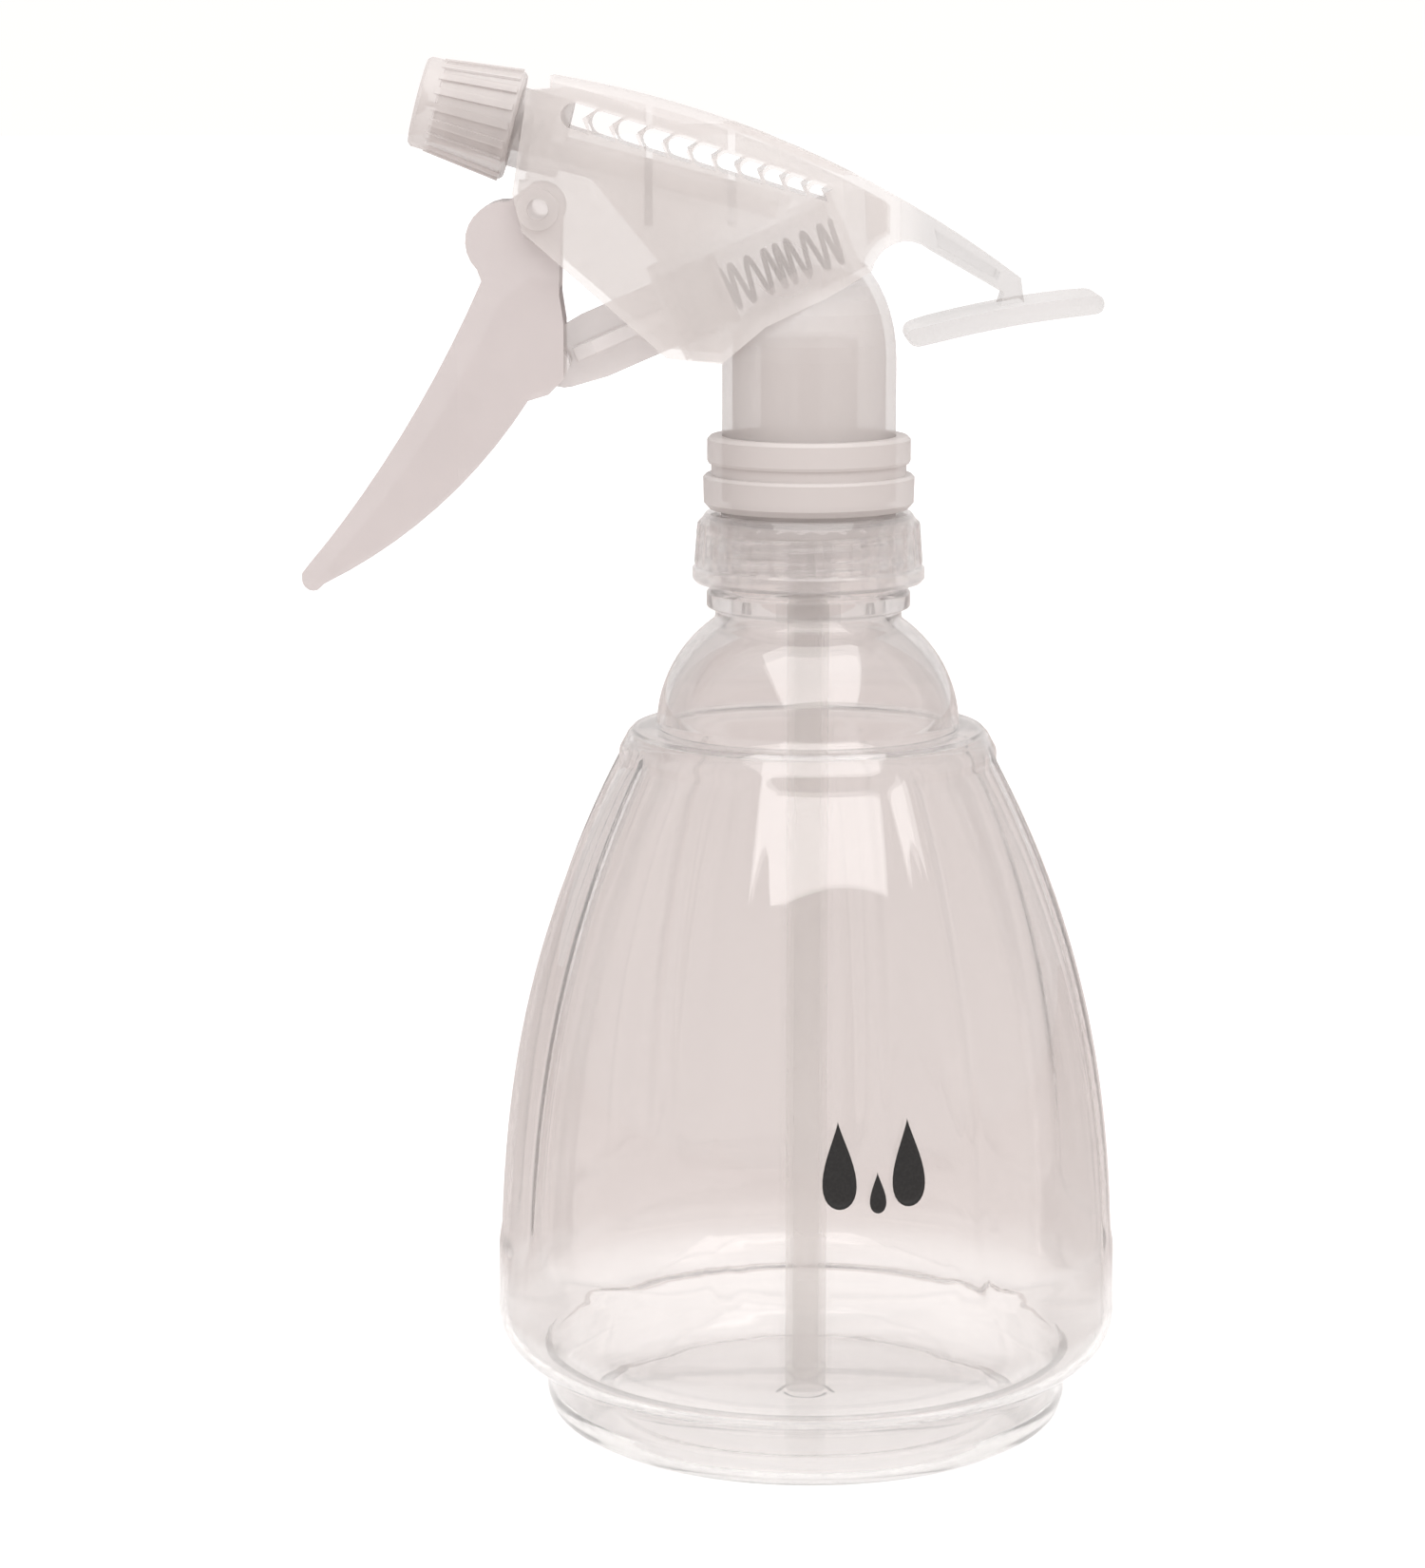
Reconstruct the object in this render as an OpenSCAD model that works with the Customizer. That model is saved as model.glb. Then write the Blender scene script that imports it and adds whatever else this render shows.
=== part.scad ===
/* [Bottle] */
// Largest outside radius of the belly
belly_r = 46.4; // [42:0.2:56]
// Height of the widest point of the belly
belly_z = 20; // [17:1:24]
// Height of the rounded shoulder lip
shoulder_z = 105; // [95:1:126]
// Outside radius just under the shoulder lip
shoulder_r = 26.9; // [24:0.2:30]
// Outside radius of the foot ring
foot_r = 39.5; // [37:0.1:41]
// Wall of the blown bottle
bottle_wall = 1.3; // [1:0.1:1.6]
// Number of flute panels around the bell
flutes = 8; // [6:1:10]
// Depth of a flute panel under the lip
flute_depth = 0.7; // [0.4:0.05:0.8]
// Width of the rib that is left between two panels
flute_rib = 2.8; // [2:0.1:4]
// Turn of the panels about the bottle axis
flute_turn = 7.1; // [-22:0.1:22]

/* [Neck and closure] */
// Outside radius of the neck under the thread
neck_r = 13; // [12.5:0.1:13.2]
// Radius of the opening in the neck
neck_bore_r = 11.4; // [10.8:0.1:11.5]
// Height of the dome between the shoulder and the neck
dome_h = 16.1; // [15:0.1:19]
// Height of the screw collar
collar_h = 10.3; // [9.5:0.1:13]
// Outside radius of the screw collar at its foot
collar_r = 17.2; // [16.8:0.1:18.5]
// Number of grip ribs on the screw collar
collar_ribs = 30; // [20:1:40]

/* [Sprayer head] */
// Outside radius of the column
column_r = 12.8; // [12.4:0.1:13.2]
// Height of the pump pin above the neck rim
pump_rise = 25.6; // [25:0.1:30]
// Tilt of the pump bore from the horizontal
pump_tilt = 23.5; // [20:0.5:26]
// Radius of the pump bore
bore_r = 5.5; // [5:0.1:5.8]
// Stroke of the piston
stroke = 9.6; // [7:0.1:9.8]
// Tilt of the nozzle axis from the horizontal
nozzle_tilt = 14.75; // [12:0.25:17]
// Length of the nozzle cap
cap_l = 14.5; // [13:0.5:18]
// Radius of the nozzle cap at its rear
cap_r = 8.3; // [7.8:0.1:8.6]
// Number of grip ribs on the nozzle cap
cap_ribs = 18; // [10:1:24]
// Outside radius of the dip tube
tube_r = 3.1; // [2.8:0.1:3.6]

/* [Shroud] */
// How much narrower than the column the shroud is, on each side
shroud_in = 1; // [0.4:0.1:1.4]
// Wall of the shroud
shroud_wall = 1.5; // [1.2:0.1:1.8]
// Number of chevron windows
windows = 11; // [6:1:12]
// Length of the rear rest plate
rest_l = 26.4; // [22:0.2:34]
// Half of the width of the rear rest plate
rest_w = 11; // [8:0.5:13]
// Thickness of the rear rest plate
rest_t = 2.7; // [2.2:0.1:3.5]

/* [Trigger] */
// Reach of the trigger tip in front of its pivot
trigger_reach = 33.5; // [28:0.5:38]
// Drop of the trigger tip below its pivot
trigger_drop = 54; // [46:0.5:58]
// Half of the trigger's width at the pivot
trigger_w = 7.3; // [6.5:0.1:7.5]
// Wall of the trigger channel
trigger_wall = 1.6; // [1.3:0.1:2]
// Radius of the pivot pin
pivot_r = 1.5; // [1.2:0.1:1.8]

/* [Hidden] */
$fn = 64;

seat = 0.05;          // gap between pieces that rest on each other
run_fit = 0.06;       // radial gap of a running fit
free_fit = 0.3;       // gap between pieces that move past each other
over = 1;             // how far a cutter runs past what it cuts

// ---- points on curves ----
function unit(v) = v / norm(v);
// points on the arc from a to b, bulging s to the left of the way from a to b
function arc_pts(a, b, s, n = 12) =
    let (c = norm(b - a), r = (c * c / 4 + s * s) / (2 * abs(s)), u = unit(b - a),
         l = [-u[1], u[0]], m = (a + b) / 2 - l * (r - abs(s)) * sign(s),
         w = asin(min(1, c / 2 / r)))
    [for (i = [0 : n]) let (t = w * (1 - 2 * i / n))
        m + sign(s) * r * (l * cos(t) - sign(s) * u * sin(t))];
// points on a circle of radius r about c, from angle a0 to a1
function turn_pts(c, r, a0, a1, n = 8) =
    [for (i = [0 : n]) let (t = a0 + (a1 - a0) * i / n) c + r * [cos(t), sin(t)]];

// ---- bottle ----
bell_n = 2.45;                       // fullness of the bell curve
bell_steps = 18;
dome_r = shoulder_r - 4.4;           // dome radius where it meets the ledge
dome_z = shoulder_z + 1.2;
neck_z = dome_z + dome_h;            // foot of the neck
bead_r = 15.1;
bead_z = neck_z + 1.5;
bead_h = 2.9;
collar_z = bead_z + bead_h + 1.1;    // foot of the screw collar
collar_top = collar_z + collar_h;
lip_t = 1.2;                         // inner lip of the screw collar
flange_t = 1.2;
gasket_t = 0.9;
flange_z = collar_top - lip_t - 0.1 - flange_t;
rim_z = flange_z - gasket_t - 2 * seat;   // rim of the neck
foot_z = 9;                          // height of the foot ring
groove_r = foot_r + 0.4;
push_up = 1.3;                         // rise of the base inside its resting ring
rest_r = foot_r - 4.1;               // outer edge of the resting ring
ring_w = 2.6;

function bell_r(z) = belly_r - (belly_r - shoulder_r) * pow((z - belly_z) / (shoulder_z - belly_z), bell_n);
function bell_pts(d) = [for (i = [0 : bell_steps])
    let (z = belly_z + (shoulder_z - belly_z) * i / bell_steps) [bell_r(z) - d, z]];
function dome_pts(d) = [for (i = [0 : 10])
    let (t = i / 10 * 54, k = cos(54)) [
        neck_r + 0.9 - d + (dome_r - neck_r - 0.9) * (cos(t) - k) / (1 - k),
        dome_z + (dome_h - d) * sin(t) / sin(54)]];

function bottle_outside() = concat(
    [[0, push_up], [rest_r - ring_w - 3, push_up], [rest_r - ring_w, 0], [rest_r, 0]],
    turn_pts([foot_r - 4, 4.6], 4, -48, 0, 5),
    [[foot_r, foot_z - 0.6], [foot_r + 0.1, foot_z], [groove_r + 0.2, foot_z + 1.2]],
    arc_pts([groove_r + 2.6, foot_z + 1.7], [belly_r, belly_z - 0.5], -1.7, 6),
    bell_pts(0),
    arc_pts([shoulder_r - 0.3, shoulder_z + 0.5], [shoulder_r - 1.6, shoulder_z + 1.2], 0.25, 4),
    dome_pts(0),
    [[neck_r + 0.9, bead_z], [bead_r, bead_z + 0.3], [bead_r, bead_z + bead_h - 0.4],
     [bead_r - 0.5, bead_z + bead_h], [neck_r, bead_z + bead_h], [neck_r, rim_z - 0.4],
     [neck_r - 0.4, rim_z], [0, rim_z]]);

w = bottle_wall;
function bottle_inside() = concat(
    [[0, push_up + w], [rest_r - ring_w - 3.6, push_up + w], [rest_r - ring_w + 0.4, w + 0.2]],
    turn_pts([foot_r - w - 4.4, 6], 4.4, -55, 0, 5),
    [[foot_r - w, foot_z - 0.6], [groove_r - w, foot_z + 0.4], [groove_r - w + 0.2, foot_z + 1.4 + w]],
    arc_pts([groove_r + 2.4 - w, foot_z + 2.2 + w], [belly_r - w, belly_z - 0.5], -1.2, 6),
    bell_pts(w),
    [[dome_r + 0.6 - w, dome_z - 0.6]],
    dome_pts(w),
    [[neck_bore_r, neck_z + 0.6], [neck_bore_r, rim_z + over], [0, rim_z + over]]);

flute_top = shoulder_z - 1.8;
flute_foot = belly_z + 7;
function flute_d(z) = flute_depth * (0.35 + 0.65 * (z - flute_foot) / (flute_top - flute_foot));
function panel_half(r) = r * sin(180 / flutes) - flute_rib / 2;

// ring between the sunk panel surface and the outside of the bell
module flute_ring()
    rotate_extrude($fn = 96) polygon(concat(
        [for (i = [0 : bell_steps])
            let (z = flute_foot - over + (flute_top - flute_foot + 2 * over) * i / bell_steps)
            [bell_r(z) - flute_d(z), z]],
        [[shoulder_r + over, flute_top + over], [belly_r + over, flute_top - 30],
         [belly_r + over, flute_foot - over]]));

// outline of one panel seen from its front, with round lower corners
module flute_outline() {
    top_half = panel_half(bell_r(flute_top));
    foot_half = panel_half(belly_r);
    corner = 7;
    function edge_z(i) = flute_top - (flute_top - flute_foot - corner) * i / 6;
    polygon(concat(
        turn_pts([top_half - 1.5, flute_top - 1.5], 1.5, 0, 90, 4),
        turn_pts([1.5 - top_half, flute_top - 1.5], 1.5, 90, 180, 4),
        [for (i = [1 : 5]) [-panel_half(bell_r(edge_z(i))), edge_z(i)]],
        turn_pts([corner - foot_half, flute_foot + corner], corner, 180, 270, 6),
        turn_pts([foot_half - corner, flute_foot + corner], corner, 270, 360, 6),
        [for (i = [5 : -1 : 1]) [panel_half(bell_r(edge_z(i))), edge_z(i)]]));
}

module bottle() color([0.92, 0.9, 0.9, 0.35]) difference() {
    rotate_extrude($fn = 96) polygon(bottle_outside());
    rotate_extrude($fn = 96) polygon(bottle_inside());
    for (i = [0 : flutes - 1])
        rotate(flute_turn + i * 360 / flutes) intersection() {
            flute_ring();
            rotate([90, 0, 0]) linear_extrude(belly_r + 2 * over) flute_outline();
        }
}

// ---- neck, collar and adapter ----
clamp_r = neck_r + 1.6;              // flange that the collar holds down
stem_r = 9.3;                        // retainer body inside the neck
socket_r = tube_r + 1.7;
ring_low_z = collar_top + 0.6;
ring_gap_z = ring_low_z + 5;
ring_top_z = ring_gap_z + 1.7;
column_z = ring_top_z + 4;           // top of the adapter
riser_r = 5.6;                       // stem of the retainer inside the column
riser_top = column_z - 3;
ball_r = 2;
ball_z = collar_top + 4.6;

module neck_gasket() color("whitesmoke")
    translate([0, 0, rim_z + seat]) difference() {
        cylinder(h = gasket_t, r = neck_r - 0.1);
        translate([0, 0, -over]) cylinder(h = gasket_t + 2 * over, r = stem_r + 0.3);
    }

module neck_adapter() color([0.9, 0.89, 0.87]) difference() {
    rotate_extrude() polygon([
        [0, flange_z], [clamp_r, flange_z], [clamp_r, flange_z + flange_t],
        [neck_r - 0.1, flange_z + flange_t], [neck_r - 0.1, ring_low_z],
        [column_r + 1.9, ring_low_z], [column_r + 2.7, ring_low_z + 0.9],
        [column_r + 2.8, ring_gap_z - 0.4], [column_r + 2.4, ring_gap_z],
        [column_r + 1.6, ring_gap_z], [column_r + 1.6, ring_top_z],
        [column_r + 2, ring_top_z], [column_r + 2.2, ring_top_z + 0.4],
        [column_r + 2.2, column_z - 0.5], [column_r + 1.7, column_z], [0, column_z]]);
    translate([0, 0, flange_z - over]) cylinder(h = column_z, r = stem_r + 0.1);
    translate([0, 0, flange_z + flange_t]) cylinder(h = column_z, r = column_r - 1.3);
    translate([0, 0, ring_low_z + 1.2]) cylinder(h = column_z, r = column_r + seat);
}

module screw_collar() color([0.9, 0.88, 0.88, 0.5]) {
    wall_r = collar_r - 0.7;
    foot_h = 2.4;
    difference() {
        union() {
            rotate_extrude() polygon([
                [0, collar_z], [collar_r - 0.5, collar_z], [collar_r, collar_z + 0.6],
                [collar_r, collar_z + foot_h - 0.3], [collar_r - 0.3, collar_z + foot_h],
                [wall_r, collar_z + foot_h], [wall_r - 0.5, collar_top - 1.2],
                [wall_r - 1.3, collar_top], [0, collar_top]]);
            for (i = [0 : collar_ribs - 1]) rotate(i * 360 / collar_ribs)
                translate([wall_r - 1, -0.5, collar_z + foot_h - 0.4])
                    cube([1.35, 1, collar_h - foot_h - 1.2]);
        }
        translate([0, 0, collar_z - over]) cylinder(h = collar_h + 2 * over, r = neck_r + 0.1);
        translate([0, 0, collar_z - over])
            cylinder(h = collar_top - lip_t - collar_z + over, r = clamp_r + 0.1);
    }
}

module tube_retainer() color("ivory") difference() {
    rotate_extrude() polygon([
        [0, rim_z - 12], [socket_r, rim_z - 12], [socket_r, rim_z - 2.4],
        [stem_r, rim_z - 2.4], [stem_r, flange_z + flange_t + seat],
        [column_r - 1.4, flange_z + flange_t + seat], [column_r - 1.4, flange_z + flange_t + 1.3],
        [riser_r, flange_z + flange_t + 1.3], [riser_r, riser_top], [0, riser_top]]);
    translate([0, 0, rim_z - 12 - over]) cylinder(h = 12 + over - 1, r = tube_r + seat);
    translate([0, 0, rim_z - 2]) cylinder(h = riser_top, r = 1.4);
    rotate_extrude() polygon([[0, ball_z - 2.6], [1.4, ball_z - 2.6], [ball_r + 0.8, ball_z],
        [ball_r + 0.8, riser_top + over], [0, riser_top + over]]);
    for (a = [45 : 90 : 359]) rotate(a)
        translate([stem_r - 2, 0, rim_z - 2.4 - over]) cylinder(h = 20, r = 0.6, $fn = 24);
}

module dip_tube() color([0.9, 0.9, 0.88, 0.8]) difference() {
    translate([0, 0, push_up + w + 0.6]) cylinder(h = rim_z - 1 - 2 * seat - push_up - w - 1.2, r = tube_r);
    translate([0, 0, push_up + w]) cylinder(h = rim_z, r = tube_r - 1.1);
    // slanted foot
    translate([0, 0, push_up + w + 0.6]) rotate([0, 35, 0]) translate([-10, -10, -10])
        cube([20, 20, 10 - 1.6]);
}

// the ball rests on the cone of the retainer
seat_slope = atan2(ball_r + 0.8 - 1.4, 2.6);
ball_rest = ball_z - 2.6 + (ball_r + seat) / sin(seat_slope) - 1.4 / tan(seat_slope);
module inlet_ball() color("silver") translate([0, 0, ball_rest]) sphere(r = ball_r, $fn = 48);

ball_lift = 1.2;
cage_z = ball_rest + ball_r + ball_lift + 0.2;
module ball_cage() color("white") translate([0, 0, cage_z]) difference() {
    cylinder(h = 1.2, r = ball_r + 0.8 - seat);
    for (a = [0 : 120 : 359]) rotate(a) translate([1.75, 0, -over]) cylinder(h = 4, r = 0.7, $fn = 24);
}

// ---- pump ----
pin_x = -37;                         // rest place of the pin that the trigger pushes
pin_z = rim_z + pump_rise;
mouth = 18.5;                        // bore mouth, along the bore from the pin
cup_at = 22;                         // rear lip of the piston cup
cup_l = 5.2;
spring_stack = 8.2;                  // room that the pressed spring needs
bore_end = cup_at + cup_l + stroke + spring_stack;
bore_wall = 1.25;
end_wall = 1.4;
along = [cos(pump_tilt), 0, sin(pump_tilt)];
module on_bore(t = 0) translate([pin_x + along[0] * t, 0, pin_z + along[2] * t])
    rotate([0, 90 - pump_tilt, 0]) children();

cap_x = -42.9;                       // centre of the nozzle cap's rear face
cap_z = pin_z + 34.1;
out = [-cos(nozzle_tilt), 0, sin(nozzle_tilt)];
module on_nozzle(t = 0, side = 0)
    translate([cap_x + out[0] * t + sin(nozzle_tilt) * side, 0,
               cap_z + out[2] * t + cos(nozzle_tilt) * side])
    rotate([0, nozzle_tilt - 90, 0]) children();

barrel_r = 5.8;
stub_r = 5;                          // barrel inside the nozzle cap
barrel_bore = 3.4;
stub_l = 9.5;
barrel_back = 7.6;
duct_r = 2.5;                        // outlet duct under the windows
duct_bore = 1.3;
duct_drop = 2;
duct_l = 41.5;
duct_rib = 1.8;
shoulder_h = 17.5;                   // rise of the column's domed top
dome_base = column_z + 11.4;
column_wall = 1.5;

module column_form(grow = 0) rotate_extrude() polygon(concat(
    [[0, ring_low_z + 1.2 + seat], [column_r + grow, ring_low_z + 1.2 + seat]],
    [for (i = [0 : 12]) let (t = i * 90 / 12)
        [(column_r + grow) * cos(t), dome_base + (shoulder_h + grow) * sin(t)]]));

module pump_body() color([0.92, 0.91, 0.89]) difference() {
    union() {
        difference() {
            column_form();
            column_form(-column_wall);
            translate([0, 0, ring_low_z]) cylinder(h = 8, r = column_r - column_wall);
        }
        // riser tube in the column
        translate([0, 0, column_z - 10]) cylinder(h = 24, r = riser_r + 1.5);
        on_bore(mouth) cylinder(h = bore_end - mouth + end_wall, r = bore_r + bore_wall);
        on_bore(mouth) cylinder(h = 1.6, r = bore_r + bore_wall + 0.7);
        // web between the bore and the column
        intersection() {
            translate([0, 1.1, 0]) rotate([90, 0, 0]) linear_extrude(2.2) polygon([
                [pin_x + 19.8, pin_z + 0.2], [-column_r + 1, pin_z - 0.1],
                [0, pin_z + 8], [-8, pin_z + 12]]);
            translate([-60, -5, 0]) cube([60, 10, 400]);
        }
        // barrel and duct
        on_nozzle(-barrel_back) cylinder(h = barrel_back, r = barrel_r);
        on_nozzle(-over) cylinder(h = stub_l + over, r = stub_r);
        on_nozzle(-duct_l, -duct_drop) cylinder(h = duct_l, r = duct_r);
        // rib under the duct
        translate([0, duct_rib / 2, 0]) rotate([90, 0, 0]) linear_extrude(duct_rib) polygon([
            [cap_x + 9, cap_z - 5], [-3, cap_z - 14], [-9, pin_z + 15], [-20, pin_z + 12]]);
    }
    on_bore(mouth - over) cylinder(h = bore_end - mouth + over, r = bore_r);
    translate([0, 0, column_z - 10 - over])
        cylinder(h = riser_top - column_z + 10 + over + 0.4, r = riser_r + seat);
    translate([0, 0, column_z - 10]) cylinder(h = 24, r = 1.6);
    on_nozzle(-barrel_back + 2.2) cylinder(h = stub_l + barrel_back, r = barrel_bore);
    on_nozzle(-duct_l + 1.6, -duct_drop) cylinder(h = duct_l - 1, r = duct_bore);
    on_nozzle(2.2 - 0.65) difference() {
        cylinder(h = 1.3, r = stub_r + over);
        translate([0, 0, -over]) cylinder(h = 4, r = stub_r - 0.95);
    }
    // vent into the column
    on_bore(mouth + 7) translate([bore_r + 0.6, 0, 0]) rotate([0, 90, 0])
        cylinder(h = 3, r = 0.5, center = true, $fn = 24);
}

rod_r = bore_r - 0.4;
pin_r = 2;
slot_skin = 0.6;                     // wall left outside the pin's blind slots
module piston_retainer() color("white") on_bore(mouth - 0.9 - seat) difference() {
    cylinder(h = 0.9, r = bore_r + bore_wall + 0.7);
    translate([0, 0, -over]) cylinder(h = 3, r = rod_r + 0.15);
}

module piston_rod() color("whitesmoke") {
    neck = cup_at - 0.4;
    rib = bore_r - 0.6;
    nose = trigger_w - trigger_wall - 2.3;
    on_bore() difference() {
        union() {
            // upright rib, then flat rib of the cross section
            rotate([90, 0, 0]) translate([0, 0, -1]) linear_extrude(2) polygon(concat(
                arc_pts([-4.2, 0.6], [4.2, 0.6], -3.6, 10),
                [[rib, 6], [rib, neck - 1.2], [-rib, neck - 1.2], [-rib, 6]]));
            translate([-1, 0, 0]) rotate([0, 90, 0]) linear_extrude(2) polygon([
                [-3, -nose], [-3, nose], [-6, rib - 0.3], [-neck + 1.2, rib], [-neck + 1.2, -rib], [-6, 0.3 - rib]]);
            translate([0, 0, neck - 2.4]) cylinder(h = 2.4, r = rod_r);
            translate([0, 0, neck - over]) cylinder(h = cup_l, r = 2.2);
            translate([0, 0, neck + 3.2]) cylinder(h = 0.9, r = 2.7);
        }
        translate([0, 0, neck + 1]) cylinder(h = cup_l, r = 1.1);
    }
    on_bore() rotate([90, 0, 0])
        cylinder(h = 2 * (trigger_w - slot_skin - free_fit / 2), r = pin_r, center = true);
}

module piston_cup() color("gainsboro") on_bore(cup_at) difference() {
    rotate_extrude() polygon([
        [0, 0], [bore_r - 0.5, 0], [bore_r - run_fit, 0.5], [bore_r - run_fit, 1.1],
        [bore_r - 0.9, 1.8], [bore_r - 0.9, cup_l - 1.9], [bore_r - run_fit, cup_l - 0.8],
        [bore_r - run_fit, cup_l], [bore_r - 1.2, cup_l], [bore_r - 1.7, cup_l - 0.9], [0, cup_l - 0.9]]);
    translate([0, 0, -over]) cylinder(h = 4, r = 2.2 + seat);
    translate([0, 0, 2.8 - seat]) cylinder(h = 0.9 + 2 * seat, r = 2.7 + seat);
    translate([0, 0, 3]) cylinder(h = 4, r = 2.2 + seat);
}

// wire of radius r wound at radius c, height h, with closed ends
module coil(c, r, h, turns, ring = 14, sides = 6) {
    steps = ring * turns;
    lift = h - 2 * r;
    function at(i) = let (t = i / steps) r + lift * (t - 0.05 * sin(720 * t) / 2);
    points = [for (i = [0 : steps], k = [0 : sides - 1])
        let (a = 360 * i / ring, b = 360 * k / sides)
        [(c + r * cos(b)) * cos(a), (c + r * cos(b)) * sin(a), at(i) + r * sin(b)]];
    walls = [for (i = [0 : steps - 1], k = [0 : sides - 1]) let (n = (k + 1) % sides)
        [i * sides + k, i * sides + n, (i + 1) * sides + n, (i + 1) * sides + k]];
    ends = [[for (k = [sides - 1 : -1 : 0]) k], [for (k = [0 : sides - 1]) steps * sides + k]];
    polyhedron(points, concat(walls, ends), convexity = 4);
}

spring_at = cup_at + cup_l - 0.9 + seat;
spring_r = 3.1;
module return_spring() color("silver") on_bore(spring_at)
    coil(spring_r, 0.4, bore_end - spring_at - seat, 8);

// ---- outlet ----
valve_at = -barrel_back + 2.2 + seat;
module outlet_valve() color("white") {
    on_nozzle(valve_at) cylinder(h = 1, r = barrel_bore - free_fit);
    on_nozzle(valve_at) cylinder(h = 5, r = 0.9);
}
insert_at = 3.6;
module outlet_spring() color("silver") on_nozzle(valve_at + 1 + seat)
    coil(1.9, 0.25, insert_at - valve_at - 1 - 2 * seat, 5, 12, 5);

module swirl_insert() color("white") on_nozzle(insert_at) difference() {
    union() {
        cylinder(h = stub_l - insert_at - 0.4, r = barrel_bore - seat);
        cylinder(h = stub_l - insert_at + 0.6, r = 2);
    }
    for (a = [0 : 120 : 359]) rotate(a) translate([barrel_bore, 0, -over])
        cylinder(h = 20, r = 0.8, $fn = 24);
    translate([0, 0, -over]) cylinder(h = 3, r = 1.3);
}

module nozzle_o_ring() color("dimgray") on_nozzle(2.2)
    rotate_extrude() translate([stub_r - 0.33, 0]) circle(r = 0.56, $fn = 24);

cap_front_r = cap_r - 1.6;
band_l = 3;
cap_rib_w = 1.1;
module nozzle_cap() color([0.9, 0.89, 0.87]) on_nozzle() difference() {
    union() {
        rotate_extrude() polygon([[0, 0], [cap_r - 0.8, 0], [cap_r - 0.4, 0.4],
            [cap_front_r - 0.2, cap_l - band_l], [cap_front_r, cap_l - band_l + 0.2],
            [cap_front_r - 0.05, cap_l - 0.5], [cap_front_r - 0.5, cap_l], [0, cap_l]]);
        for (i = [0 : cap_ribs - 1]) rotate((i + 0.5) * 360 / cap_ribs) rotate([90, 0, 0])
            translate([0, 0, -cap_rib_w / 2]) linear_extrude(cap_rib_w)
                polygon([[cap_r - 1.6, 0.7], [cap_r, 0.7],
                    [cap_front_r + 0.15, cap_l - band_l + 0.6], [cap_front_r - 1.2, cap_l - band_l + 0.6]]);
    }
    translate([0, 0, -over]) cylinder(h = stub_l + 2 + over, r = stub_r + free_fit);
    translate([0, 0, stub_l]) cylinder(h = cap_l, r = 0.4, $fn = 24);
    translate([0, 0, cap_l - 1.2]) cylinder(h = 1.2 + over, r1 = 1.2, r2 = 3.4);
}

// ---- shroud ----
shroud_w = column_r - shroud_in;     // half of the shroud's width over the pump
side_gap = 0.5;                      // room between the trigger and the shroud's walls
shroud_front = trigger_w + side_gap + shroud_wall;
spine_r = 156;                       // radius of the spine's curve
spine_c = [-62.95, pin_z - 112.4];   // its centre
front_x = cap_x + 5.5;
plate_z = cap_z + 5.2;               // top of the front plate around the barrel
strut_w = 5;
arch_c = [13.9, pin_z + 12.5];
arch_r = 5.2;
rest_tilt = 10.4;
rest_x = 15.3;
rest_z = pin_z + 4.1;
function spine_z(x, d = 0) = spine_c[1] + sqrt(pow(spine_r - d, 2) - pow(x - spine_c[0], 2));

// side outline of the shroud's shell, drawn d inside its outer faces
function shell_side(d) = concat(
    [for (i = [0 : 14]) let (x = front_x + d + (13 - front_x - d) * i / 14) [x, spine_z(x, d)]],
    turn_pts(arch_c, arch_r + d, 100, 168, 5),
    [[2, pin_z + 9.8 - 2 * d], [-6.5, pin_z + 5.8 - 2 * d],
     [-column_r - 0.1, pin_z + 0.4 - 2 * d], [pin_x + 16.2, pin_z + 1.2 - 2 * d],
     [cap_x + 1.3 + d, pin_z + 19.2 - 2 * d],
     [cap_x - 0.1 + d, pin_z + 24.6], [cap_x + 2.2 + d, plate_z], [front_x + d, plate_z + 0.3]]);

// half of the plan outline, drawn d inside
function plan_half(x) = x < -5 ? shroud_front + (shroud_w - shroud_front) * pow((x + 45) / 40, 0.8)
    : x < 3 ? shroud_w - 0.1 * (x + 5) / 8
    : strut_w + 0.6 + (shroud_w - 0.7 - strut_w) * (1 + cos(180 * min(1, (x - 3) / 11))) / 2;
module plan(d) {
    xs = [for (i = [0 : 20]) -45 + 62 * i / 20];
    polygon(concat([for (x = xs) [x, plan_half(x) - d]],
        [for (i = [20 : -1 : 0]) [xs[i], d - plan_half(xs[i])]]));
}

module upright(half) translate([0, half, 0]) rotate([90, 0, 0]) linear_extrude(2 * half) children();

module shell(d) intersection() {
    upright(shroud_w + over) polygon(shell_side(d));
    linear_extrude(400) plan(d);
    // rounded upper edges
    translate([spine_c[0], 0, spine_c[1]]) rotate([90, 0, 0]) rotate_extrude($fn = 128)
        polygon(concat([[0, -shroud_w - 1]],
            turn_pts([spine_r - 3.2, 4 - shroud_w], 3.2 - d, -75, 0, 6),
            turn_pts([spine_r - 3.2, shroud_w - 4], 3.2 - d, 0, 75, 6),
            [[0, shroud_w + 1]]));
}

band_a = [-33.6, pin_z + 35.6];      // first and last window centres
band_b = [1.2, pin_z + 24.95];
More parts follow.
